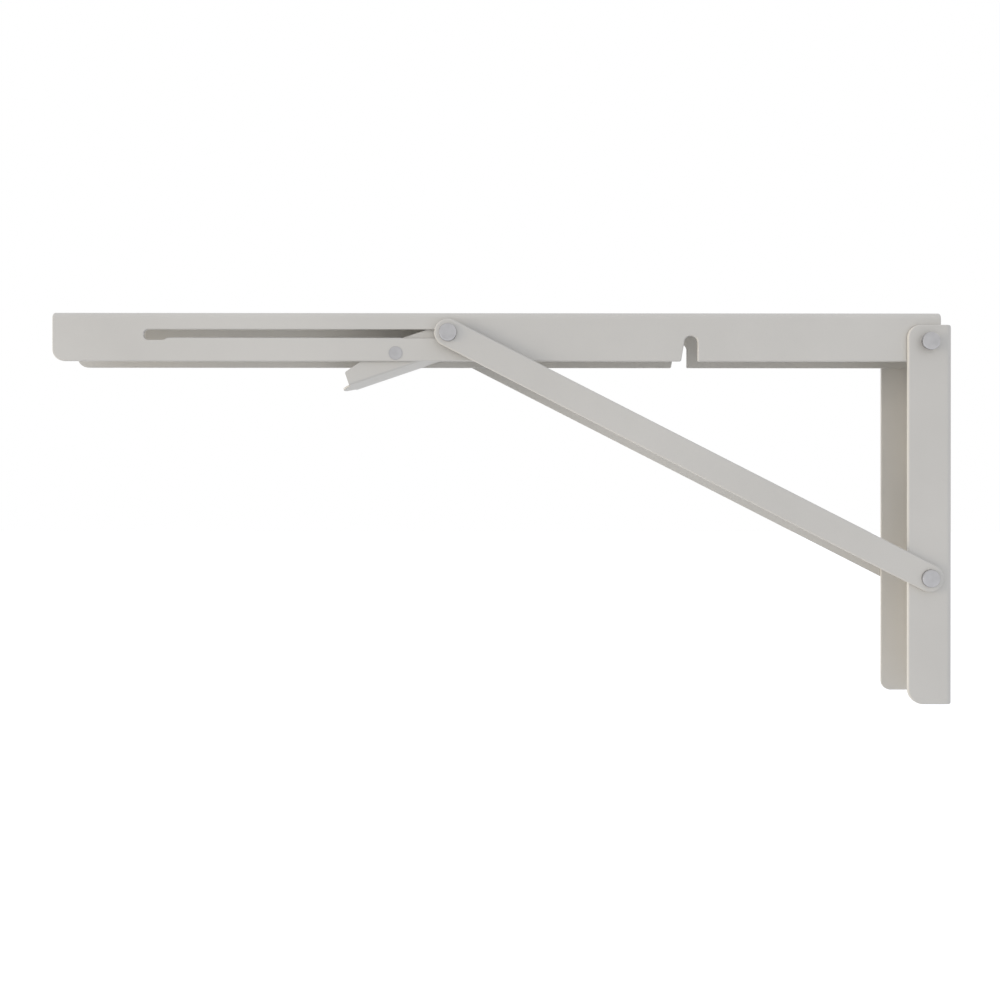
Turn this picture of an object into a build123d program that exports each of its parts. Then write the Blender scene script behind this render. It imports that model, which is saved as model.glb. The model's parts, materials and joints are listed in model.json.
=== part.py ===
from build123d import *
import os
from math import acos, atan2, cos, degrees, hypot, pi, radians, sin, sqrt, tan

# Folding shelf bracket, in millimetres.
#
# Two folded channels hinge on each other: the wall plate stands on the wall and the shelf arm
# reaches out from it. Two flat bars strut the arm. Their top pin slides along slots in the arm
# when the arm folds down over the wall plate, and a sprung lever inside the arm holds the pin.
#
# Frame: +X points into the wall and the plate's back face is x = 0, +Z is up, y = 0 is the
# mid-plane, and z = 0 is half way up the plate. "near" is the -Y side, "far" the +Y side.

# --- sheet metal -------------------------------------------------------------------------
sheet = 1.6             # thickness of both channels
bend_inside = 1.2       # inside radius of their bends
sheet_edge = 0.5        # rounding of the cut edges on the outside, on the struts too

# --- wall plate --------------------------------------------------------------------------
plate_height = 170.0
plate_depth = 20.0      # from the wall to the flange edges
plate_width = 30.0
plate_top_corner = 5.6
plate_bottom_corner = 6.8
plate_bottom_corner_far = 4.3
plate_back_corner = 2.2  # at the top, next to the wall
plate_screw_end = 23.0  # from each end of the plate to the outer screw holes
plate_screw_pitch = 26.0  # between the two inner screw holes
screw_hole = 5.5

# --- shelf arm ---------------------------------------------------------------------------
arm_length = 400.0
arm_depth = 22.0
arm_side_gap = 0.4      # each side, between the arm and the plate's flanges
arm_tip_corner = 5.2
arm_heel = 6.9          # from the arm pivot to the arm's wall end
folded_gap = 1.15       # between the folded arm's flange edges and the plate's web
arm_screw_end = 30.0    # from each end of the arm to the outer screw holes
arm_screw_pitch = 190.0  # between the two inner screw holes

# --- pivots ------------------------------------------------------------------------------
pivot_setback = 11.25   # from the wall to the arm pivot and the strut foot
pivot_drop = 7.7        # from the top of the plate to the arm pivot
foot_drop = 105.6       # from the arm pivot to the strut foot
pin_diameter = 4.0      # shank of every rivet and of the slide pins
running_gap = 0.05      # radial, between a pin and the hole that it turns in
head_diameter = 8.0
head_height = 1.3
head_rounding = 0.7
spacer_diameter = 6.0

# --- struts ------------------------------------------------------------------------------
strut_width = 12.2
strut_thickness = 2.0
strut_gap = 0.3         # between the plate's flanges and the bars
face_gap = 0.1          # between flat faces that turn or slide on each other

# --- slot and foot notch in the arm's flanges --------------------------------------------
slot_gap = 0.08         # above and below the slide pin
slot_drop = 9.76        # from the arm's top to the slot's centre line
slot_tip_margin = 41.1  # from the arm's tip to the slot's outer end
slot_slack = 3.3        # travel left beyond the pin when the arm is folded
detent_drop = 0.76      # how much deeper the slot's outer end is
detent_length = 6.4
notch_gap = 1.05        # between the foot rivet and the notch around it
notch_flare = 1.7       # extra width of the mouth towards the tip
notch_mouth = 0.6       # rounding of the mouth's corners

# --- release lever -----------------------------------------------------------------------
lever_sheet = 1.2
lever_bend_inside = 0.4
lever_side_gap = 2.8    # each side, between the lever and the arm's flanges
lever_reach = 23.8      # from the slide pin out to the lever's pivot
lever_pivot_drop = 8.68  # from the slide pin down to the lever's pivot
lever_tilt = 18.8       # degrees that the tail hangs down
lever_web_drop = 7.25   # from the pivot to the underside of the lever's web
lever_cheek_rise = 6.2  # from the pivot to the top edge of its cheeks
lever_tail = 24.9       # from the pivot to the tail end of the cheeks
lever_tail_height = 7.1  # of the cheeks at their tail end
lever_tail_slope = 16.0  # degrees by which the cheeks rise from there
lever_tail_corner = 1.0
lever_shoulder = 4.0    # rounding at the top of the slope
lever_front = 30.0      # from the pivot to the wall-side end
tongue_length = 4.3     # of the rounded thumb tongue beyond the cheeks
catch_gap = 0.3         # between the catch and the slide pin
cradle_gap = 0.5        # below the slide pin
catch_corner = 0.6
cradle_corner = 1.5
lever_head_diameter = 6.0
lever_head_depth = 1.0  # of its countersink
lever_head_rise = 0.15  # how far the flush head stands out

# --- lever spring ------------------------------------------------------------------------
wire = 0.9
coil_gap = 0.3          # between the rivet's shank and the coil
coil_turns = 4          # whole turns, before what the legs' directions take off
coil_pitch = 1.15
elbow_out = 14.5        # from the pivot, towards the wall, to the elbow of the arm's leg
elbow_drop = 1.2        # of the elbow below the leg's tip
elbow_bend = 2.0
arm_leg_out = 10.0      # from the pivot out to where that leg bears on the arm's web
lever_leg_out = 17.0    # from the pivot out to where the other bears on the lever's web
leg_gap = 0.1           # between a leg's end and the face that it bears on

# --- worked out from the sizes above -----------------------------------------------------
pin_r = pin_diameter / 2
hole_r = pin_r + running_gap
plate_top = plate_height / 2
arm_width = plate_width - 2 * (sheet + arm_side_gap)
lever_width = arm_width - 2 * (sheet + lever_side_gap)
arm_inner_face = arm_width / 2 - sheet
strut_inner_face = plate_width / 2 + strut_gap
strut_outer_face = strut_inner_face + strut_thickness
head_seat = strut_outer_face + face_gap

pivot_x = -pivot_setback
pivot_z = plate_top - pivot_drop
foot_z = pivot_z - foot_drop
heel_radius = pivot_setback - sheet - folded_gap
arm_bottom = pivot_z - heel_radius
arm_top = arm_bottom + arm_depth
arm_end = pivot_x + arm_heel
arm_tip = arm_end - arm_length

# The strut is as long as the folded arm needs, and that length puts the slide pin at rest.
slot_half = pin_r + slot_gap
slot_z = arm_top - slot_drop
pin_rise = slot_z - pivot_z
slot_outer_x = arm_tip + slot_tip_margin + slot_half
folded_reach = pivot_x - slot_outer_x - slot_slack
strut_length = hypot(folded_reach - foot_drop, pin_rise)
pin_reach = sqrt(strut_length**2 - (foot_drop + pin_rise) ** 2)
pin_x = pivot_x - pin_reach

notch_r = pin_r + notch_gap
notch_x = pivot_x - foot_drop

lever_x = pin_x - lever_reach
lever_z = slot_z - lever_pivot_drop

near, far = -1, 1
reach_y = 4 * plate_width  # longer than anything is wide, for cuts that go right through


def side_prism(outline):
    """A shape drawn in side view, X to the right and Z up, run right through along Y."""
    return extrude(Plane.XZ * outline, amount=reach_y, both=True)


def cross_hole(x, z, radius):
    """A round hole along Y."""
    return Pos(x, 0, z) * Rot(90, 0, 0) * Cylinder(radius, 2 * reach_y)


def pin_along_y(x, z, radius, start, end, side):
    """A round bar along Y from start to end, counted outwards from the mid-plane on one side."""
    bar = Pos(0, 0, start) * Cylinder(radius, end - start, align=(Align.CENTER, Align.CENTER, Align.MIN))
    return Pos(x, 0, z) * Rot(-90 * side, 0, 0) * bar


def channel(width, depth, length, thickness, inside_radius):
    """A folded channel along +Z: web's outer face at y = 0, flanges reaching to y = -depth."""
    outer = Pos(0, -depth / 2) * Rectangle(width, depth)
    outer = fillet(outer.vertices().group_by(Axis.Y)[-1], inside_radius + thickness)
    inner = Pos(0, -thickness - depth / 2) * Rectangle(width - 2 * thickness, depth)
    inner = fillet(inner.vertices().group_by(Axis.Y)[-1], inside_radius)
    return extrude(outer - inner, amount=length)


def round_corner(outline, x, y, radius):
    """Round the outline's corner nearest to a point."""
    return fillet(outline.vertices().sort_by_distance((x, y, 0))[0], radius)


def round_flanges(part):
    """Round the cut edges of both flanges on the outside. A flange's longest edge is its bend."""
    across = part.faces().filter_by(Axis.Y).sort_by(Axis.Y)
    edges = []
    for flange in (across[0], across[-1]):
        edges += flange.outer_wire().edges().sort_by(SortBy.LENGTH)[:-1]
    return fillet(edges, sheet_edge)


# --- channels ----------------------------------------------------------------------------
def plate_outline(bottom_corner):
    """Side view of the wall plate, with its rounded flange corners."""
    outline = Pos(-plate_depth / 2, 0) * Rectangle(plate_depth, plate_height)
    outline = round_corner(outline, -plate_depth, plate_top, plate_top_corner)
    return round_corner(outline, -plate_depth, -plate_top, bottom_corner)


def make_wall_plate():
    """Upright channel, web against the wall, with the pivot holes and four screw holes."""
    plane = Plane(origin=(0, 0, plate_top), x_dir=(0, 1, 0), z_dir=(0, 0, -1))
    plate = plane * channel(plate_width, plate_depth, plate_height, sheet, bend_inside)
    plate &= side_prism(plate_outline(plate_bottom_corner_far))
    near_half = Pos(0, near * reach_y / 2, 0) * Box(reach_y, reach_y, 2 * plate_height)
    plate -= near_half - side_prism(plate_outline(plate_bottom_corner))
    plate -= cross_hole(pivot_x, pivot_z, hole_r)
    plate -= cross_hole(pivot_x, foot_z, hole_r)
    outer = plate_top - plate_screw_end
    inner = plate_screw_pitch / 2
    for z in (outer, inner, -inner, -outer):
        plate -= Pos(0, 0, z) * Rot(0, 90, 0) * Cylinder(screw_hole / 2, 4 * sheet)
    back = Pos(-plate_depth / 2, 0) * Rectangle(plate_depth, plate_height)
    back = round_corner(back, 0, plate_top, plate_back_corner)
    return round_flanges(plate) & side_prism(back)


def arm_slot():
    """The slide pin's slot: its inner end stops the pin, its outer end is a little deeper."""
    run = (pin_x - slot_outer_x) / 2
    slot = Pos(slot_outer_x + run, slot_z) * SlotCenterToCenter(2 * run, 2 * slot_half)
    detent = Pos(slot_outer_x + detent_length / 2, slot_z - detent_drop)
    return slot + detent * SlotCenterToCenter(detent_length, 2 * slot_half)


def arm_notch():
    """The notch that drops over the strut's foot rivet, flared towards the arm's tip."""
    below = arm_bottom - pivot_z - sheet
    corners = [(-notch_r, 0), (-notch_r - notch_flare, below), (notch_r, below), (notch_r, 0)]
    throat = make_face(Polyline(*corners, close=True))
    return Pos(notch_x, pivot_z) * (Circle(notch_r) + throat)


def arm_outline():
    """Side view of the arm: rounded heel about the pivot, rounded tip, slot and notch."""
    middle = (arm_tip + arm_end) / 2
    outline = Pos(middle, (arm_top + arm_bottom) / 2) * Rectangle(arm_length, arm_depth)
    outline = round_corner(outline, arm_tip, arm_bottom, arm_tip_corner)
    heel = Pos(pivot_x + heel_radius / 2, pivot_z - heel_radius / 2) * Rectangle(heel_radius, heel_radius)
    outline -= heel - Pos(pivot_x, pivot_z) * Circle(heel_radius)
    outline -= arm_notch()
    for x in (notch_x - notch_r - notch_flare, notch_x + notch_r):
        outline = round_corner(outline, x, arm_bottom, notch_mouth)
    return outline - arm_slot()


def make_shelf_arm():
    """Channel with its open side down, which carries the shelf and folds over the wall plate."""
    plane = Plane(origin=(arm_tip, 0, arm_top), x_dir=(0, 1, 0), z_dir=(1, 0, 0))
    arm = plane * channel(arm_width, arm_depth, arm_length, sheet, bend_inside)
    arm &= side_prism(arm_outline())
    arm -= cross_hole(pivot_x, pivot_z, hole_r)
    arm -= cross_hole(lever_x, lever_z, hole_r)
    for side in (near, far):
        arm -= lever_head(side, running_gap)
    outer = arm_length / 2 - arm_screw_end
    inner = arm_screw_pitch / 2
    for x in (-outer, -inner, inner, outer):
        arm -= Pos((arm_tip + arm_end) / 2 + x, 0, arm_top) * Cylinder(screw_hole / 2, 4 * sheet)
    return round_flanges(arm)


# --- struts and rivets -------------------------------------------------------------------
def make_strut(side):
    """Flat bar with full-round ends, a pin hole in each and a rounded rim on its outer face."""
    rise = slot_z - foot_z
    angle = -degrees(atan2(rise, pin_reach))
    bar = SlotCenterToCenter(strut_length, strut_width)
    for end in (-1, 1):
        bar -= Pos(end * strut_length / 2, 0) * Circle(hole_r)
    middle = Pos((pin_x + pivot_x) / 2, (slot_z + foot_z) / 2) * Rot(0, 0, angle) * bar
    solid = extrude(Plane.XZ * middle, amount=strut_thickness)
    outer_face = solid.faces().sort_by(Axis.Y)[0 if side == near else -1]
    solid = fillet(outer_face.outer_wire().edges(), sheet_edge)
    return Pos(0, -strut_inner_face if side == near else strut_outer_face, 0) * solid


def rivet_head(side):
    """Low round head, flat on top, seated just outside the strut's outer face."""
    head = Cylinder(head_diameter / 2, head_height, align=(Align.CENTER, Align.CENTER, Align.MIN))
    head = fillet(head.edges().group_by(Axis.Z)[-1], head_rounding)
    return Rot(-90 * side, 0, 0) * Pos(0, 0, head_seat) * head


def make_cross_rivet(z):
    """Rivet right across the bracket, with a head outside each strut's level."""
    rivet = Rot(90, 0, 0) * Cylinder(pin_r, 2 * head_seat)
    for side in (near, far):
        rivet += rivet_head(side)
    return Pos(pivot_x, 0, z) * rivet


def make_strut_top_rivet(side):
    """The headed end of the slide pin, through one bar."""
    head = Pos(pin_x, 0, slot_z) * rivet_head(side)
    return head + pin_along_y(pin_x, slot_z, pin_r, strut_inner_face, head_seat, side)


def make_slide_pin(side):
    """The inner end of the slide pin, in one flange's slot and up to the bar."""
    return pin_along_y(pin_x, slot_z, pin_r, arm_inner_face, strut_inner_face - face_gap, side)


def make_spacer(x, z, start, end, side):
    """Ring round a pin that fills the room between two faces."""
    ring = pin_along_y(x, z, spacer_diameter / 2, start, end, side)
    return ring - pin_along_y(x, z, hole_r, start - 1, end + 1, side)


# --- release lever -----------------------------------------------------------------------
lever_plane = Plane(
    origin=(lever_x, 0, lever_z),
    x_dir=(cos(radians(lever_tilt)), 0, sin(radians(lever_tilt))),
    z_dir=(0, -1, 0),
)


def on_lever(dx, dz):
    """A point given level and plumb from the lever's pivot, in the lever's own tilted axes."""
    tilt = radians(lever_tilt)
    return (dx * cos(tilt) + dz * sin(tilt), dz * cos(tilt) - dx * sin(tilt))


def off_lever(u, v):
    """The other way about: a point in the lever's axes, given level and plumb."""
    tilt = radians(lever_tilt)
    return (u * cos(tilt) - v * sin(tilt), u * sin(tilt) + v * cos(tilt))


def cheek_outline():
    """Side view of a cheek: tail, sloping back, level catch nose, and cradle below the pin."""
    tilt = radians(lever_tilt)
    tail_top = lever_tail_height - lever_web_drop
    slope_run = (lever_cheek_rise - tail_top) / tan(radians(lever_tail_slope))
    nose_top = slot_z + slot_half - slot_gap - lever_z
    nose_start = (nose_top * cos(tilt) - lever_cheek_rise) / sin(tilt)
    lock_face = lever_reach - pin_r - catch_gap
    cradle = on_lever(lever_reach, lever_pivot_drop)[1] - pin_r - cradle_gap
    lock_foot = (cradle + lock_face * sin(tilt)) / cos(tilt)
    points = [
        (-lever_tail, -lever_web_drop),
        (-lever_tail, tail_top),
        (-lever_tail + slope_run, lever_cheek_rise),
        on_lever(nose_start, nose_top),
        on_lever(lock_face, nose_top),
        on_lever(lock_face, lock_foot),
        (lever_front, cradle),
        (lever_front, -lever_web_drop),
    ]
    outline = make_face(Polyline(*points, close=True))
    outline = round_corner(outline, *points[1], lever_tail_corner)
    outline = round_corner(outline, *points[2], lever_shoulder)
    outline = round_corner(outline, *points[4], catch_corner)
    outline = round_corner(outline, *points[5], catch_corner)
    return round_corner(outline, *points[6], cradle_corner)


def make_release_lever():
    """Folded sheet lever: two cheeks with catch noses, joined by a web with a thumb tongue."""
    length = lever_front + lever_tail
    depth = 2 * (lever_web_drop + lever_cheek_rise)  # deeper than the cheeks, which it is cut to
    start = Plane(
        origin=lever_plane.from_local_coords((lever_front, -lever_web_drop, 0)),
        x_dir=(0, 1, 0),
        z_dir=-lever_plane.x_dir,
    )
    blank = start * channel(lever_width, depth, length, lever_sheet, lever_bend_inside)
    cheeks = extrude(lever_plane * cheek_outline(), amount=reach_y, both=True)
    tongue_half = lever_width / 2 - lever_sheet - lever_bend_inside
    rim = ThreePointArc((0, -tongue_half), (tongue_length, 0), (0, tongue_half))
    tongue = extrude(make_face(rim + Line((0, tongue_half), (0, -tongue_half))), amount=lever_sheet)
    root = Plane(
        origin=lever_plane.from_local_coords((-lever_tail, -lever_web_drop, 0)),
        x_dir=-lever_plane.x_dir,
        z_dir=lever_plane.y_dir,
    )
    lever = (blank & cheeks) + root * tongue
    return lever - cross_hole(lever_x, lever_z, hole_r)


def lever_head(side, gap=0.0):
    """Countersunk head of the lever's rivet in one flange, grown by a gap for the countersink."""
    outer = arm_width / 2
    cone = Cone(pin_r + gap, lever_head_diameter / 2 + gap, lever_head_depth)
    rim = Cylinder(lever_head_diameter / 2 + gap, lever_head_rise + gap)
    head = Pos(0, 0, outer - lever_head_depth / 2) * cone
    head += Pos(0, 0, outer + (lever_head_rise + gap) / 2) * rim
    return Pos(lever_x, 0, lever_z) * Rot(-90 * side, 0, 0) * head


def make_lever_rivet():
    """Flush rivet across the arm that the lever turns on."""
    rivet = pin_along_y(lever_x, lever_z, pin_r, 0, arm_width / 2, near)
    rivet += pin_along_y(lever_x, lever_z, pin_r, 0, arm_width / 2, far)
    return rivet + lever_head(near) + lever_head(far)


def polar_angle(point):
    """Direction of a point from the pivot, in radians from 0 to a full turn."""
    return atan2(point[1], point[0]) % (2 * pi)


def make_lever_spring():
    """Torsion spring on the lever's rivet. One leg bears on the lever's web. The other rises
    beside the catch and turns back to bear under the arm's web, on the tail's side of the pivot."""
    coil_r = pin_r + coil_gap + wire / 2
    on_web = off_lever(-lever_leg_out, -lever_web_drop + lever_sheet + leg_gap + wire / 2)
    under_arm = arm_top - sheet - leg_gap - wire / 2 - lever_z
    elbow = (elbow_out, under_arm - elbow_drop)
    start = polar_angle(on_web) + acos(coil_r / hypot(*on_web))
    finish = polar_angle(elbow) - acos(coil_r / hypot(*elbow)) + 2 * pi * coil_turns
    turns = (finish - start) / (2 * pi)
    coil = Rot(0, 0, degrees(start)) * Helix(coil_pitch, turns * coil_pitch, coil_r)
    web_leg = sqrt(hypot(*on_web) ** 2 - coil_r**2)
    riser = sqrt(hypot(*elbow) ** 2 - coil_r**2)
    first = Line(coil @ 0 - web_leg * (coil % 0), coil @ 0)
    corner = coil @ 1 + riser * (coil % 1)
    tip = Vector(-arm_leg_out, under_arm, corner.Z)
    bend = FilletPolyline(coil @ 1, corner, tip, radius=elbow_bend)
    path = Wire([first, coil, *bend.edges()])
    spring = sweep(Plane(origin=path @ 0, z_dir=path % 0) * Circle(wire / 2), path=path)
    middle = (lever_x, turns * coil_pitch / 2, lever_z)
    return Plane(origin=middle, z_dir=(0, -1, 0), x_dir=(1, 0, 0)) * spring


def save(name, part):
    """Write one piece to its own file."""
    export_step(part, f"parts/{name}.step")
    print(f"{name:24s} {part.volume:9.1f} mm3")


def main():
    os.makedirs("parts", exist_ok=True)
    save("wall_plate", make_wall_plate())
    save("shelf_arm", make_shelf_arm())
    save("arm_pivot_rivet", make_cross_rivet(pivot_z))
    save("strut_foot_rivet", make_cross_rivet(foot_z))
    save("release_lever", make_release_lever())
    save("lever_rivet", make_lever_rivet())
    save("lever_spring", make_lever_spring())
    for name, side in (("near", near), ("far", far)):
        save(f"strut_{name}", make_strut(side))
        save(f"strut_top_rivet_{name}", make_strut_top_rivet(side))
        save(f"slide_pin_{name}", make_slide_pin(side))
        spacer = make_spacer(pin_x, slot_z, arm_width / 2 + face_gap, strut_inner_face - face_gap, side)
        save(f"slide_spacer_{name}", spacer)
        save(f"pivot_spacer_{name}", make_spacer(pivot_x, pivot_z, plate_width / 2, head_seat, side))
        spacer = make_spacer(lever_x, lever_z, lever_width / 2 + face_gap, arm_inner_face, side)
        save(f"lever_spacer_{name}", spacer)


main()
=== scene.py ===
# %% [markdown]
# # A folding shelf bracket
#
# The bracket is two bent steel channels hinged at one corner, a pair of flat struts, a small
# release lever inside the arm, and the rivets and pins that hold them together. The sheet
# parts are powder coated off-white and the rivets are zinc plated. The metal shapes come
# from the CAD frame, with two exceptions. The release lever is folded again here at its full
# width, and its spring is parted in two so that one leg can turn with the lever. The rest of
# the lesson is about edges, finishes, light and camera.

import json
import math

import bmesh
import bpy

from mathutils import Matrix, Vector


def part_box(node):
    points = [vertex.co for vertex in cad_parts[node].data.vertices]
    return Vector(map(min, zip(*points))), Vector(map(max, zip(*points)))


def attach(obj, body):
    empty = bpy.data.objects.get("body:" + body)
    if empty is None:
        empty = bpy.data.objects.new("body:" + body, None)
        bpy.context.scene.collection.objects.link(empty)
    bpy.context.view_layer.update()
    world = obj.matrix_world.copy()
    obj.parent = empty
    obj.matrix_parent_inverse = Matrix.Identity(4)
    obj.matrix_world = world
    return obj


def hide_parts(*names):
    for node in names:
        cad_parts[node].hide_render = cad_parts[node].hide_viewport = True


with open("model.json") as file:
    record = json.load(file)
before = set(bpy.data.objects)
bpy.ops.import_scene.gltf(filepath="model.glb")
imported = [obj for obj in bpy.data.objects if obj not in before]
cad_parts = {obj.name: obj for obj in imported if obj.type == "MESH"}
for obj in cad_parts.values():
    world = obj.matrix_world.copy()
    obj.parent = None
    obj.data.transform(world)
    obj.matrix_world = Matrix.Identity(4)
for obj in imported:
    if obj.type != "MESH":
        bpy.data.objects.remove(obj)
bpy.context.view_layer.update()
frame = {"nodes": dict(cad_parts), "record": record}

# %% [markdown]
# ## The camera
#
# The bracket is seen almost square from the side, from close by, so its far flanges show
# below and to the left of the near ones. A wide lens about 0.4 m away gives that. The
# frame is shifted a little instead of tilting the camera, which keeps uprights upright.

# %% Camera
LENS_MM = 32.18
SENSOR_MM = 36.0
FRAME_SHIFT = -0.02
CAMERA_PLACE = (-0.2028, -0.415, 0.0153)
CAMERA_ROLL = -0.0008
LEVEL_VIEW = math.radians(90)
camera_data = bpy.data.cameras.new("side_camera")
camera_data.lens = LENS_MM
camera_data.sensor_width = SENSOR_MM
camera_data.shift_y = FRAME_SHIFT
camera = bpy.data.objects.new("side_camera", camera_data)
camera.location = CAMERA_PLACE
camera.rotation_euler = (LEVEL_VIEW, CAMERA_ROLL, 0)
bpy.context.scene.collection.objects.link(camera)
bpy.context.scene.camera = camera
print("camera", tuple(camera.location), "lens", LENS_MM)

# %% [markdown]
# ## A helper for materials
#
# Every finish below is a small graph of shader nodes. Writing the graph by hand needs the
# same few moves again and again: add a node with its settings, link two sockets, spread a
# value over a range, and turn a value into a colour.


# %% Material helper
class Finish:
    """A node material under construction."""

    def __init__(self, name):
        self.material = bpy.data.materials.new(name)
        self.material.use_nodes = True
        self.tree = self.material.node_tree
        self.shader = self.tree.nodes["Principled BSDF"]

    def add(self, kind, **settings):
        """Add a node and set its attributes, or its inputs where the name is an input's."""
        node = self.tree.nodes.new("ShaderNode" + kind)
        for name, value in settings.items():
            if hasattr(node, name):
                setattr(node, name, value)
            else:
                node.inputs[name.replace("_", " ")].default_value = value
        return node

    def link(self, output, input_socket):
        """Join one node's output to another's input."""
        self.tree.links.new(output, input_socket)

    def spread(self, value, low, high):
        """A value from 0 to 1 stretched to run from low to high."""
        stretch = self.add("MapRange", To_Min=low, To_Max=high)
        self.link(value, stretch.inputs["Value"])
        return stretch.outputs["Result"]

    def ramp(self, value, *stops):
        """A colour that a value picks between two (position, colour) stops."""
        tone = self.add("ValToRGB")
        for element, (position, colour) in zip(tone.color_ramp.elements, stops):
            element.position = position
            element.color = colour
        self.link(value, tone.inputs["Fac"])
        return tone.outputs["Color"]


print("helper ready")

# %% [markdown]
# ## Powder coat
#
# Powder coat is a baked plastic skin about a tenth of a millimetre thick. Close up it has
# orange peel: soft swells a millimetre or so across. Its cut edges are rounded in the
# shading, and they are also painted a little darker: painted shade that tempers the bright
# rim the lamp puts on them. Both are made in the shader. A bevel node rounds the shading at
# each cut edge, and the angle between that rounded normal and the flat one is a mask for
# where the edge is.

# %% Powder coat values
COAT_DARK = (0.660, 0.640, 0.598, 1)
COAT_LIGHT = (0.702, 0.681, 0.637, 1)
# The edge colour is painted shade: the cut edges are painted darker than the coat.
COAT_EDGE_SHADE = (0.625, 0.608, 0.572, 1)
COAT_SMOOTH, COAT_ROUGH = 0.46, 0.58
COAT_SPECULAR = 0.35
EDGE_ROUNDING = 0.00035
FLAT, FULLY_BENT = 1.0, 0.80
PEEL_HEIGHT = 0.00006
# A Mix node has a socket for each kind of data, and these are the places of its colours.
MIX_FIRST, MIX_SECOND, MIX_RESULT = 6, 7, 2
print("coat from", COAT_DARK[:3], "to", COAT_LIGHT[:3])


# %% Powder coat
def powder_coat():
    """Off-white satin powder coat with orange peel, rounded edge shading and painted shade on
    the edges.
    """
    f = Finish("powder_coat")
    place = f.add("TexCoord").outputs["Object"]

    drift = f.add("TexNoise", Scale=18.0, Detail=3.0, Roughness=0.55)
    f.link(place, drift.inputs["Vector"])
    tone = f.ramp(drift.outputs["Fac"], (0.3, COAT_DARK), (0.7, COAT_LIGHT))

    round_edge = f.add("Bevel", samples=6, Radius=EDGE_ROUNDING)
    flat = f.add("NewGeometry")
    bend = f.add("VectorMath", operation="DOT_PRODUCT")
    f.link(round_edge.outputs["Normal"], bend.inputs[0])
    f.link(flat.outputs["Normal"], bend.inputs[1])
    # The edge mask paints the cut edges darker with the edge colour, a painted shade.
    edge = f.add("MapRange", From_Min=FLAT, From_Max=FULLY_BENT)
    f.link(bend.outputs["Value"], edge.inputs["Value"])

    colour = f.add("Mix", data_type="RGBA")
    f.link(edge.outputs["Result"], colour.inputs["Factor"])
    f.link(tone, colour.inputs[MIX_FIRST])
    colour.inputs[MIX_SECOND].default_value = COAT_EDGE_SHADE
    f.link(colour.outputs[MIX_RESULT], f.shader.inputs["Base Color"])

    peel = f.add("TexNoise", Scale=750.0, Detail=2.0, Roughness=0.45)
    f.link(place, peel.inputs["Vector"])
    swell = f.add("Bump", Strength=0.22, Distance=PEEL_HEIGHT)
    f.link(peel.outputs["Fac"], swell.inputs["Height"])
    f.link(round_edge.outputs["Normal"], swell.inputs["Normal"])
    f.link(swell.outputs["Normal"], f.shader.inputs["Normal"])

    sheen = f.spread(drift.outputs["Fac"], COAT_SMOOTH, COAT_ROUGH)
    f.link(sheen, f.shader.inputs["Roughness"])
    f.shader.inputs["Specular IOR Level"].default_value = COAT_SPECULAR
    return f.material


coat = powder_coat()
print("made", coat.name)

# %% [markdown]
# ## Plated steel
#
# Rivets and pins are bare steel under a thin zinc plate. It is a metal, so its colour is in
# the reflection, but the plate is dull and slightly blue. Barrel plating tumbles the parts,
# which leaves fine random scuffs. Noise at two scales drives the tone, the roughness and a
# faint bump.

# %% Plated steel values
ZINC, ZINC_ROUGHNESS = (0.468, 0.463, 0.470), 0.42
WIRE, WIRE_ROUGHNESS = (0.36, 0.36, 0.37), 0.3
SCUFF_SWING = 0.08
SCUFF_DEPTH = 0.00003
CLOUD_DARK, CLOUD_LIGHT = 0.94, 1.05
print("zinc", ZINC, "wire", WIRE)


# %% Plated steel
def shaded(colour, factor):
    """A colour made darker or lighter, at full opacity."""
    return (*(channel * factor for channel in colour), 1)


def plated_steel(name, colour, roughness):
    """Satin metal with tumbling scuffs."""
    f = Finish(name)
    place = f.add("TexCoord").outputs["Object"]
    scuff = f.add("TexNoise", Scale=900.0, Detail=4.0, Roughness=0.6)
    f.link(place, scuff.inputs["Vector"])
    worn = f.spread(scuff.outputs["Fac"], roughness - SCUFF_SWING, roughness + SCUFF_SWING)
    f.link(worn, f.shader.inputs["Roughness"])

    cloud = f.add("TexNoise", Scale=260.0, Detail=2.0, Roughness=0.5)
    f.link(place, cloud.inputs["Vector"])
    dark, light = shaded(colour, CLOUD_DARK), shaded(colour, CLOUD_LIGHT)
    tone = f.ramp(cloud.outputs["Fac"], (0.35, dark), (0.65, light))
    f.link(tone, f.shader.inputs["Base Color"])

    dents = f.add("Bump", Strength=0.15, Distance=SCUFF_DEPTH)
    f.link(scuff.outputs["Fac"], dents.inputs["Height"])
    f.link(dents.outputs["Normal"], f.shader.inputs["Normal"])
    f.shader.inputs["Metallic"].default_value = 1.0
    return f.material


zinc = plated_steel("zinc_plate", ZINC, ZINC_ROUGHNESS)
wire_steel = plated_steel("spring_wire", WIRE, WIRE_ROUGHNESS)
print("made", zinc.name, "and", wire_steel.name)

# %% [markdown]
# ## Which piece gets which finish
#
# The record already names a finish slot for every node, so the materials are handed out by
# that slot.

# %% Dress the frame
SLOT_FINISH = {"coated_sheet": coat, "plated_steel": zinc, "spring_wire": wire_steel}
for part in frame["record"]["subparts"]:
    node = frame["nodes"][part["node"]]
    node.data.materials.clear()
    node.data.materials.append(SLOT_FINISH[part["material_slot"]])

# %% [markdown]
# ## The release lever
#
# The lever is a short folded channel: two cheeks, a web under them and a rounded tongue for
# the thumb. It nearly fills the arm, so only a thin shadow parts it from the flanges. It
# could be drawn as one surface and thickened. Here it is made as the press makes it: fold a
# long channel, cut it to the cheeks' side view, and leave the tongue on the web. Three
# booleans do the cutting and a small bevel breaks the edges.

# %% Outline with rounded corners
ARC_STEPS = 8


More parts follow.
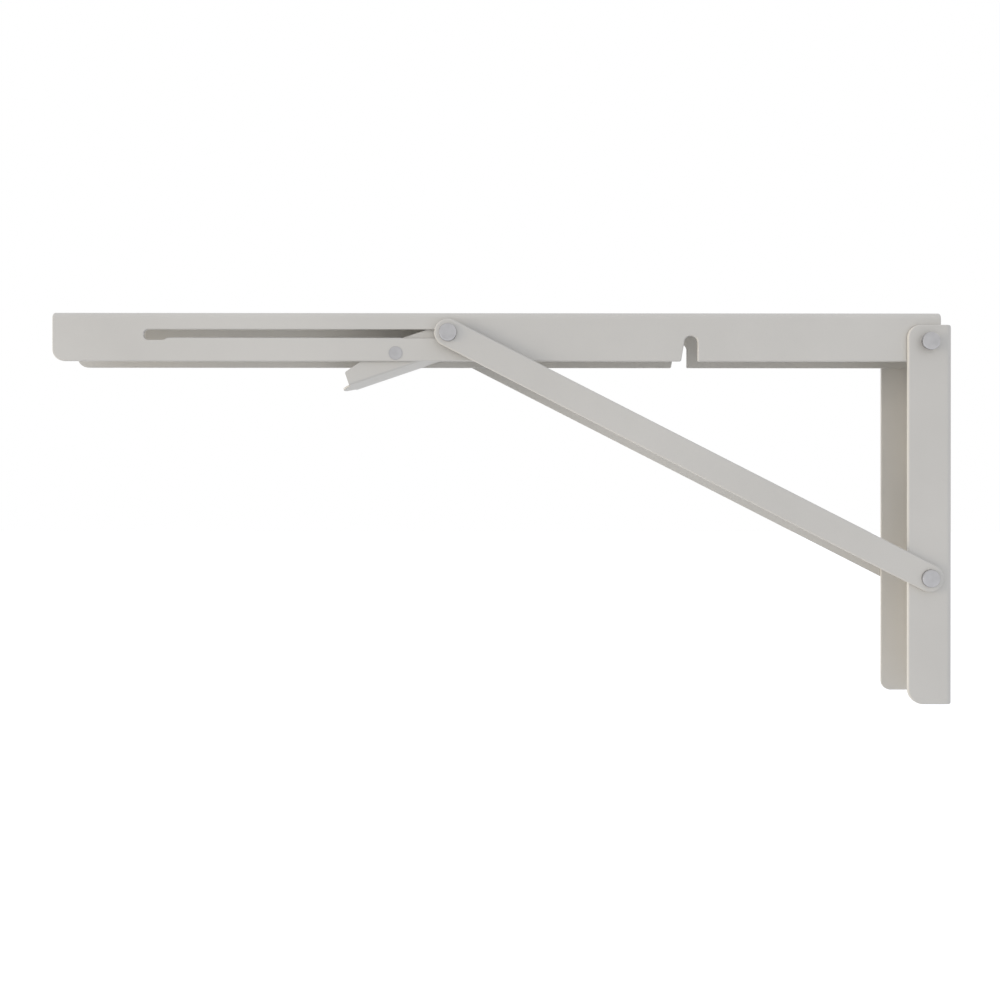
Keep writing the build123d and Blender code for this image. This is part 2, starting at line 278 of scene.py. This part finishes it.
def rounded_outline(corners):
    """Points round a closed outline of (x, y, radius) corners, with an arc at each radius."""
    points = []
    for index, (x, y, radius) in enumerate(corners):
        corner = Vector((x, y))
        if radius == 0:
            points.append(corner)
            continue
        before = (Vector(corners[index - 1][:2]) - corner).normalized()
        after = (Vector(corners[(index + 1) % len(corners)][:2]) - corner).normalized()
        half_angle = before.angle(after) / 2
        centre = corner + (before + after).normalized() * radius / math.sin(half_angle)
        run = radius / math.tan(half_angle)
        first = corner + before * run - centre
        last = corner + after * run - centre
        for step in range(ARC_STEPS + 1):
            spoke = first.lerp(last, step / ARC_STEPS).normalized() * radius
            points.append(centre + spoke)
    return points


print("arcs of", ARC_STEPS, "steps")


# %% Solid from an outline
def prism(name, outline, place, start, end):
    """A solid from an outline, run from start to end, each point put in space by place()."""
    rings = [[place(a, b, depth) for a, b in outline] for depth in (start, end)]
    count = len(outline)
    faces = [tuple(range(count)), tuple(reversed(range(count, 2 * count)))]
    for i in range(count):
        j = (i + 1) % count
        faces.append((j, i, count + i, count + j))
    mesh = bpy.data.meshes.new(name)
    mesh.from_pydata(rings[0] + rings[1], [], faces)
    solid = bmesh.new()
    solid.from_mesh(mesh)
    bmesh.ops.recalc_face_normals(solid, faces=solid.faces)
    solid.to_mesh(mesh)
    solid.free()
    piece = bpy.data.objects.new(name, mesh)
    bpy.context.scene.collection.objects.link(piece)
    return piece


print("prism helper ready")

# %% [markdown]
# ## Lever sizes
#
# Sizes are in metres, in the lever's own axes: `u` runs along it from the pivot towards the
# wall and `v` stands square to its web. The pivot and the catch's height come from the frame,
# so the lever keeps its seat on the rivet and against the slide pin. The frame has a ring at
# each side of the rivet, 3 mm in radius, so the cheeks turn round the rings with 0.1 mm to
# spare. The sheet is thin enough to leave the spring's leg its room above the web.

# %% Lever sizes
MM = 0.001
PIVOT = sum(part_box("lever_rivet"), Vector()) / 2
SLIDE_PIN = sum(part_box("slide_pin_near"), Vector()) / 2
PIN_RADIUS = (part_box("slide_pin_near")[1].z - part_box("slide_pin_near")[0].z) / 2
ARM_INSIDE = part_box("lever_spacer_far")[1].y
LEVER_TILT = math.radians(18.8)
LEVER_SHEET = 0.75 * MM
LEVER_BEND = 0.25 * MM
SIDE_GAP = 0.3 * MM
LEVER_HALF = ARM_INSIDE - SIDE_GAP
WEB_DROP = 6.75 * MM
CHEEK_RISE = 5.75 * MM
TAIL = 24.6 * MM
TAIL_TOP = -0.55 * MM
TAIL_SLOPE = math.radians(16)
TAIL_CORNER = 1.0 * MM
BACK_CORNER = 4.0 * MM
FRONT = 30 * MM
CATCH_GAP = 0.3 * MM
CATCH_RISE = 0.35 * MM
CATCH_CORNER = 0.6 * MM
CRADLE_GAP = 0.5 * MM
CRADLE_CORNER = 1.5 * MM
TONGUE = 4.4 * MM
TONGUE_HALF = 7.5 * MM
TONGUE_LAP = 0.5 * MM
TONGUE_STEPS = 16
BUSH_HOLE = 3.1 * MM
HOLE_STEPS = 48
EDGE_BREAK = 0.2 * MM
EDGE_SEGMENTS = 2
CUT_EDGE = math.radians(40)
SHARP_EDGE = math.radians(35)
print("lever pivot", tuple(round(c, 5) for c in PIVOT))

# %% [markdown]
# ## Outlines of the lever
#
# Two outlines make the folded channel: its cross-section, and the side view that both cheeks
# are cut to. The nose is level when the lever is at rest, so its corners are worked out from
# the pin it holds and then turned into the lever's tilted axes.


# %% Lever's own axes
def along_lever(dx, dz):
    """A level and plumb distance from the pivot, in the lever's own axes."""
    cos, sin = math.cos(LEVER_TILT), math.sin(LEVER_TILT)
    return dx * cos + dz * sin, dz * cos - dx * sin


def in_frame(u, v, y):
    """A point of the lever's side view at depth y, in the frame."""
    cos, sin = math.cos(LEVER_TILT), math.sin(LEVER_TILT)
    return PIVOT.x + u * cos - v * sin, y, PIVOT.z + u * sin + v * cos


print("lever tilt", round(math.degrees(LEVER_TILT), 1), "degrees")


# %% Lever outlines
def cheek_corners():
    """Side view of a cheek: tail, sloping back, level catch nose, and cradle under the pin."""
    reach = SLIDE_PIN.x - PIVOT.x
    pin_rise = SLIDE_PIN.z - PIVOT.z
    nose = pin_rise + PIN_RADIUS + CATCH_RISE
    lock = reach - PIN_RADIUS - CATCH_GAP
    slope_end = -TAIL + (CHEEK_RISE - TAIL_TOP) / math.tan(TAIL_SLOPE)
    cos, sin = math.cos(LEVER_TILT), math.sin(LEVER_TILT)
    nose_start = (nose * cos - CHEEK_RISE) / sin
    cradle = along_lever(reach, pin_rise)[1] - PIN_RADIUS - CRADLE_GAP
    lock_foot = (cradle + lock * sin) / cos
    return [
        (-TAIL, -WEB_DROP, 0),
        (-TAIL, TAIL_TOP, TAIL_CORNER),
        (slope_end, CHEEK_RISE, BACK_CORNER),
        (*along_lever(nose_start, nose), 0),
        (*along_lever(lock, nose), CATCH_CORNER),
        (*along_lever(lock, lock_foot), CATCH_CORNER),
        (FRONT, cradle, CRADLE_CORNER),
        (FRONT, -WEB_DROP, 0),
    ]


def fold_corners():
    """Cross-section of the folded sheet as (y, v): web below, cheeks up, open on top."""
    top = 2 * CHEEK_RISE
    outer, inner = LEVER_HALF, LEVER_HALF - LEVER_SHEET
    bend = LEVER_BEND + LEVER_SHEET
    floor_v = -WEB_DROP + LEVER_SHEET
    return [
        (-outer, top, 0),
        (-outer, -WEB_DROP, bend),
        (outer, -WEB_DROP, bend),
        (outer, top, 0),
        (inner, top, 0),
        (inner, floor_v, LEVER_BEND),
        (-inner, floor_v, LEVER_BEND),
        (-inner, top, 0),
    ]


print("cheek has", len(cheek_corners()), "corners")


# %% Tongue and hole outlines
def tongue_outline():
    """The thumb tongue from above as (u, y): a straight root and a round rim."""
    radius = (TONGUE_HALF**2 + TONGUE**2) / (2 * TONGUE)
    sweep = math.asin(TONGUE_HALF / radius)
    centre = -TAIL - TONGUE + radius
    root = -TAIL + TONGUE_LAP
    outline = [(root, -TONGUE_HALF), (root, TONGUE_HALF)]
    for step in range(TONGUE_STEPS + 1):
        angle = sweep - 2 * sweep * step / TONGUE_STEPS
        outline.append((centre - radius * math.cos(angle), radius * math.sin(angle)))
    return outline


def hole_outline():
    """The round hole in each cheek, about the pivot."""
    angles = [2 * math.pi * step / HOLE_STEPS for step in range(HOLE_STEPS)]
    return [(BUSH_HOLE * math.cos(a), BUSH_HOLE * math.sin(a)) for a in angles]


print("tongue has", len(tongue_outline()), "points")

# %% [markdown]
# ## Cutting the lever
#
# A boolean keeps what two solids share, adds one to the other, or takes one away. The exact
# solver is the slower one, but it leaves a closed mesh even where faces lie flush, as the
# tongue's do on the web. The modifiers are applied at once, so the piece ends as plain mesh.


# %% Boolean helpers
def apply_modifiers(piece):
    """Make the modifiers' result the piece's own mesh."""
    bpy.context.view_layer.update()
    result = piece.evaluated_get(bpy.context.evaluated_depsgraph_get())
    mesh = bpy.data.meshes.new_from_object(result)
    piece.modifiers.clear()
    piece.data = mesh


def carve(piece, tool, operation):
    """Apply one boolean to a piece and throw the tool away."""
    step = piece.modifiers.new(operation, "BOOLEAN")
    step.operation = operation
    step.solver = "EXACT"
    step.object = tool
    apply_modifiers(piece)
    bpy.data.objects.remove(tool)


print("boolean helpers ready")


# %% Cut and join the lever
def fold_lever():
    """The whole lever as one closed solid."""
    fold = rounded_outline(fold_corners())
    lever = prism("thumb_lever", fold, lambda y, v, u: in_frame(u, v, y), -TAIL, FRONT)
    reach_y = 2 * LEVER_HALF
    side = rounded_outline(cheek_corners())
    carve(lever, prism("cheeks", side, in_frame, -reach_y, reach_y), "INTERSECT")

    web = -WEB_DROP, -WEB_DROP + LEVER_SHEET
    tongue = prism("tongue", tongue_outline(), lambda u, y, v: in_frame(u, v, y), *web)
    carve(lever, tongue, "UNION")
    hole = prism("bush_hole", hole_outline(), in_frame, -reach_y, reach_y)
    carve(lever, hole, "DIFFERENCE")

    broken = lever.modifiers.new("edge_break", "BEVEL")
    broken.width = EDGE_BREAK
    broken.segments = EDGE_SEGMENTS
    broken.limit_method = "ANGLE"
    broken.angle_limit = CUT_EDGE
    apply_modifiers(lever)
    lever.data.shade_smooth()
    lever.data.set_sharp_from_angle(angle=SHARP_EDGE)
    return lever


lever = fold_lever()
lever.data.materials.clear()
lever.data.materials.append(coat)
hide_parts("release_lever")
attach(lever, "lever")

# %% [markdown]
# ## The lever's spring
#
# A torsion spring winds up when the lever is pressed: the leg on the lever's web turns with
# it, and the coil takes up the turn. The leg follows the helix, so it drifts a little to
# one side along its length. A single rigid piece would leave that leg behind and
# push it out through the web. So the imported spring's own mesh is parted where the leg leaves
# the coil. The coil stays on the arm, and the leg rides on the lever. The leg keeps the
# first stretch of coil too, which fills the gap that it would open as it turns. The sizes
# are those that the CAD spring was wound to.

# %% Spring sizes
SPRING_WIRE = 0.9 * MM
COIL_RADIUS = 2.75 * MM
COIL_PITCH = 1.15 * MM
LEG_TIP = (-17 * MM, -5.5 * MM)
LEG_TURN = math.radians(24)
LEG_LANE = 0.6 * SPRING_WIRE
WELD = 0.001 * MM
print("spring wire", SPRING_WIRE, "coil radius", COIL_RADIUS)


# %% Where the leg runs
def leg_line():
    """Where the leg leaves the coil, its direction, and the start angle, seen from the side."""
    x, _, z = in_frame(*LEG_TIP, 0)
    tip = Vector((x - PIVOT.x, z - PIVOT.z))
    start = math.atan2(tip.y, tip.x) + math.acos(COIL_RADIUS / tip.length)
    root = Vector((math.cos(start), math.sin(start))) * COIL_RADIUS
    return root, (tip - root).normalized(), start


LEG_ROOT, LEG_WAY, LEG_START = leg_line()
LEG_LENGTH = math.sqrt(LEG_TIP[0] ** 2 + LEG_TIP[1] ** 2 - COIL_RADIUS**2)
LEG_DRIFT = COIL_PITCH / (2 * math.pi * COIL_RADIUS)
ROOT_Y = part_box("lever_spring")[1].y - SPRING_WIRE / 2 - LEG_DRIFT * LEG_LENGTH
print("leg length", round(LEG_LENGTH, 5), "drift", round(LEG_DRIFT, 4))


# %% Pick the leg's faces
def on_leg(centre):
    """Whether a face lies on the straight leg."""
    offset = Vector((centre.x - PIVOT.x, centre.z - PIVOT.z)) - LEG_ROOT
    along = offset.dot(LEG_WAY)
    aside = (offset - along * LEG_WAY).length
    across = abs(centre.y - ROOT_Y - LEG_DRIFT * along)
    return along > 0 and max(aside, across) < LEG_LANE


def on_first_turn(centre):
    """Whether a face lies on the stretch of coil that the leg unwinds."""
    turn = (math.atan2(centre.z - PIVOT.z, centre.x - PIVOT.x) - LEG_START) % (2 * math.pi)
    reach = math.hypot(centre.z - PIVOT.z, centre.x - PIVOT.x)
    across = abs(centre.y - ROOT_Y + COIL_PITCH * turn / (2 * math.pi))
    return turn < LEG_TURN and max(abs(reach - COIL_RADIUS), across) < LEG_LANE


print("lane either side of the leg", LEG_LANE)


# %% Part the spring
def spring_part(name, wanted):
    """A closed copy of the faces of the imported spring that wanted() picks."""
    solid = bmesh.new()
    solid.from_mesh(frame["nodes"]["lever_spring"].data)
    bmesh.ops.remove_doubles(solid, verts=solid.verts, dist=WELD)
    unwanted = [face for face in solid.faces if not wanted(face.calc_center_median())]
    bmesh.ops.delete(solid, geom=unwanted, context="FACES")
    bmesh.ops.holes_fill(solid, edges=[edge for edge in solid.edges if edge.is_boundary])
    bmesh.ops.recalc_face_normals(solid, faces=solid.faces)
    mesh = bpy.data.meshes.new(name)
    solid.to_mesh(mesh)
    solid.free()
    mesh.shade_smooth()
    mesh.set_sharp_from_angle(angle=SHARP_EDGE)
    mesh.materials.append(wire_steel)
    part = bpy.data.objects.new(name, mesh)
    bpy.context.scene.collection.objects.link(part)
    return part


coil = spring_part("spring_coil", lambda centre: not on_leg(centre))
leg = spring_part("spring_leg", lambda centre: on_leg(centre) or on_first_turn(centre))
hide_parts("lever_spring")
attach(coil, "arm")
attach(leg, "lever")
print("coil faces", len(coil.data.polygons), "leg faces", len(leg.data.polygons))

# %% [markdown]
# ## What the eye sees white
#
# The floor and the surroundings should look plain white without throwing more light on the
# bracket. A light path node tells what a ray is for. Camera, glossy and transmission rays
# show a surface to the eye, and the others carry light on from it. Taking the larger of
# those three is 1 for a ray that shows and 0 for a ray that lights.


# %% Rays that show
def showing_rays(tree):
    """An output that is 1 for camera, glossy and transmission rays and 0 for the rest."""
    path = tree.nodes.new("ShaderNodeLightPath")
    showing = path.outputs["Is Camera Ray"]
    for kind in ("Is Glossy Ray", "Is Transmission Ray"):
        either = tree.nodes.new("ShaderNodeMath")
        either.operation = "MAXIMUM"
        tree.links.new(showing, either.inputs[0])
        tree.links.new(path.outputs[kind], either.inputs[1])
        showing = either.outputs[0]
    return showing


print("ray helper ready")

# %% [markdown]
# ## The floor
#
# The bracket is shown on plain white. The floor lies below the arm's folded reach, so the
# arm can swing down without touching it. It is a matt white sheet that also glows a little
# for the rays that show: lit parts reach full white and the shadow stays. Its underside is
# clear, so the bracket can also be looked at from underneath.

# %% Floor
FLOOR_Z = -0.36
FLOOR_HALF = 6.0
FLOOR_CORNERS = ((-1, -1), (1, -1), (1, 1), (-1, 1))
PAPER_TONE = (0.8, 0.8, 0.8, 1)
PAPER_ROUGHNESS = 0.9
PAPER_GLOW = 0.5
floor_mesh = bpy.data.meshes.new("floor")
corners = [(FLOOR_HALF * x, FLOOR_HALF * y, FLOOR_Z) for x, y in FLOOR_CORNERS]
floor_mesh.from_pydata(corners, [], [(0, 1, 2, 3)])
floor = bpy.data.objects.new("floor", floor_mesh)
bpy.context.scene.collection.objects.link(floor)

paper = Finish("white_paper")
paper.shader.inputs["Base Color"].default_value = PAPER_TONE
paper.shader.inputs["Roughness"].default_value = PAPER_ROUGHNESS
lift = paper.add("Math", operation="MULTIPLY")
lift.inputs[1].default_value = PAPER_GLOW
paper.link(showing_rays(paper.tree), lift.inputs[0])
paper.shader.inputs["Emission Color"].default_value = (1, 1, 1, 1)
paper.link(lift.outputs[0], paper.shader.inputs["Emission Strength"])
clear = paper.add("BsdfTransparent")
one_sided = paper.add("MixShader")
paper.link(paper.add("NewGeometry").outputs["Backfacing"], one_sided.inputs["Fac"])
paper.link(paper.shader.outputs[0], one_sided.inputs[1])
paper.link(clear.outputs[0], one_sided.inputs[2])
paper.link(one_sided.outputs[0], paper.tree.nodes["Material Output"].inputs["Surface"])
floor_mesh.materials.append(paper.material)
print("floor at", FLOOR_Z)

# %% [markdown]
# ## Light from all round
#
# Most of the light comes evenly from every side, as in a white tent, so undersides stay
# pale. It is a touch cool, which the warm lamp further on balances. The rays that show see
# plain white instead.

# %% World light
SKY_COLOUR = (0.960, 0.988, 1.052, 1)
SKY_STRENGTH = 0.755
world = bpy.data.worlds.new("soft_studio")
bpy.context.scene.world = world
world.use_nodes = True
sky = world.node_tree
background = sky.nodes["Background"]
background.inputs["Color"].default_value = SKY_COLOUR
background.inputs["Strength"].default_value = SKY_STRENGTH
plain_white = sky.nodes.new("ShaderNodeBackground")
plain_white.inputs["Color"].default_value = (1, 1, 1, 1)
plain_white.inputs["Strength"].default_value = 1.0
choose = sky.nodes.new("ShaderNodeMixShader")
sky.links.new(showing_rays(sky), choose.inputs[0])
sky.links.new(background.outputs[0], choose.inputs[1])
sky.links.new(plain_white.outputs[0], choose.inputs[2])
sky.links.new(choose.outputs[0], sky.nodes["World Output"].inputs["Surface"])
print("world light set")

# %% [markdown]
# ## One large lamp
#
# Even light alone leaves every face the same tone. A large square lamp far off at the arm's
# free end, a little in front, adds a warm side that models the channels and edges. It is
# kept out of glossy rays, which leaves the rivet heads their darker left rim.

# %% Soft box
LAMP_PLACE = (-3.6, -0.75, 0.05)
LAMP_AIM = (-0.2, 0, 0)
LAMP_SIZE = 1.8
LAMP_POWER = 76.0
LAMP_COLOUR = (1.0, 0.88, 0.70)


def soft_box(name, place, aim, size, power):
    """A large square lamp."""
    lamp = bpy.data.lights.new(name, "AREA")
    lamp.size = size
    lamp.energy = power
    holder = bpy.data.objects.new(name, lamp)
    holder.location = place
    direction = holder.location - Vector(aim)
    holder.rotation_euler = direction.to_track_quat("Z", "Y").to_euler()
    bpy.context.scene.collection.objects.link(holder)
    return holder


left_box = soft_box("left_box", LAMP_PLACE, LAMP_AIM, LAMP_SIZE, LAMP_POWER)
left_box.data.color = LAMP_COLOUR
left_box.visible_glossy = False
print("soft box set")

# %% [markdown]
# ## Finish
#
# Standard view keeps colours as they are written.

# %% Finish
bpy.context.scene.view_settings.view_transform = "Standard"
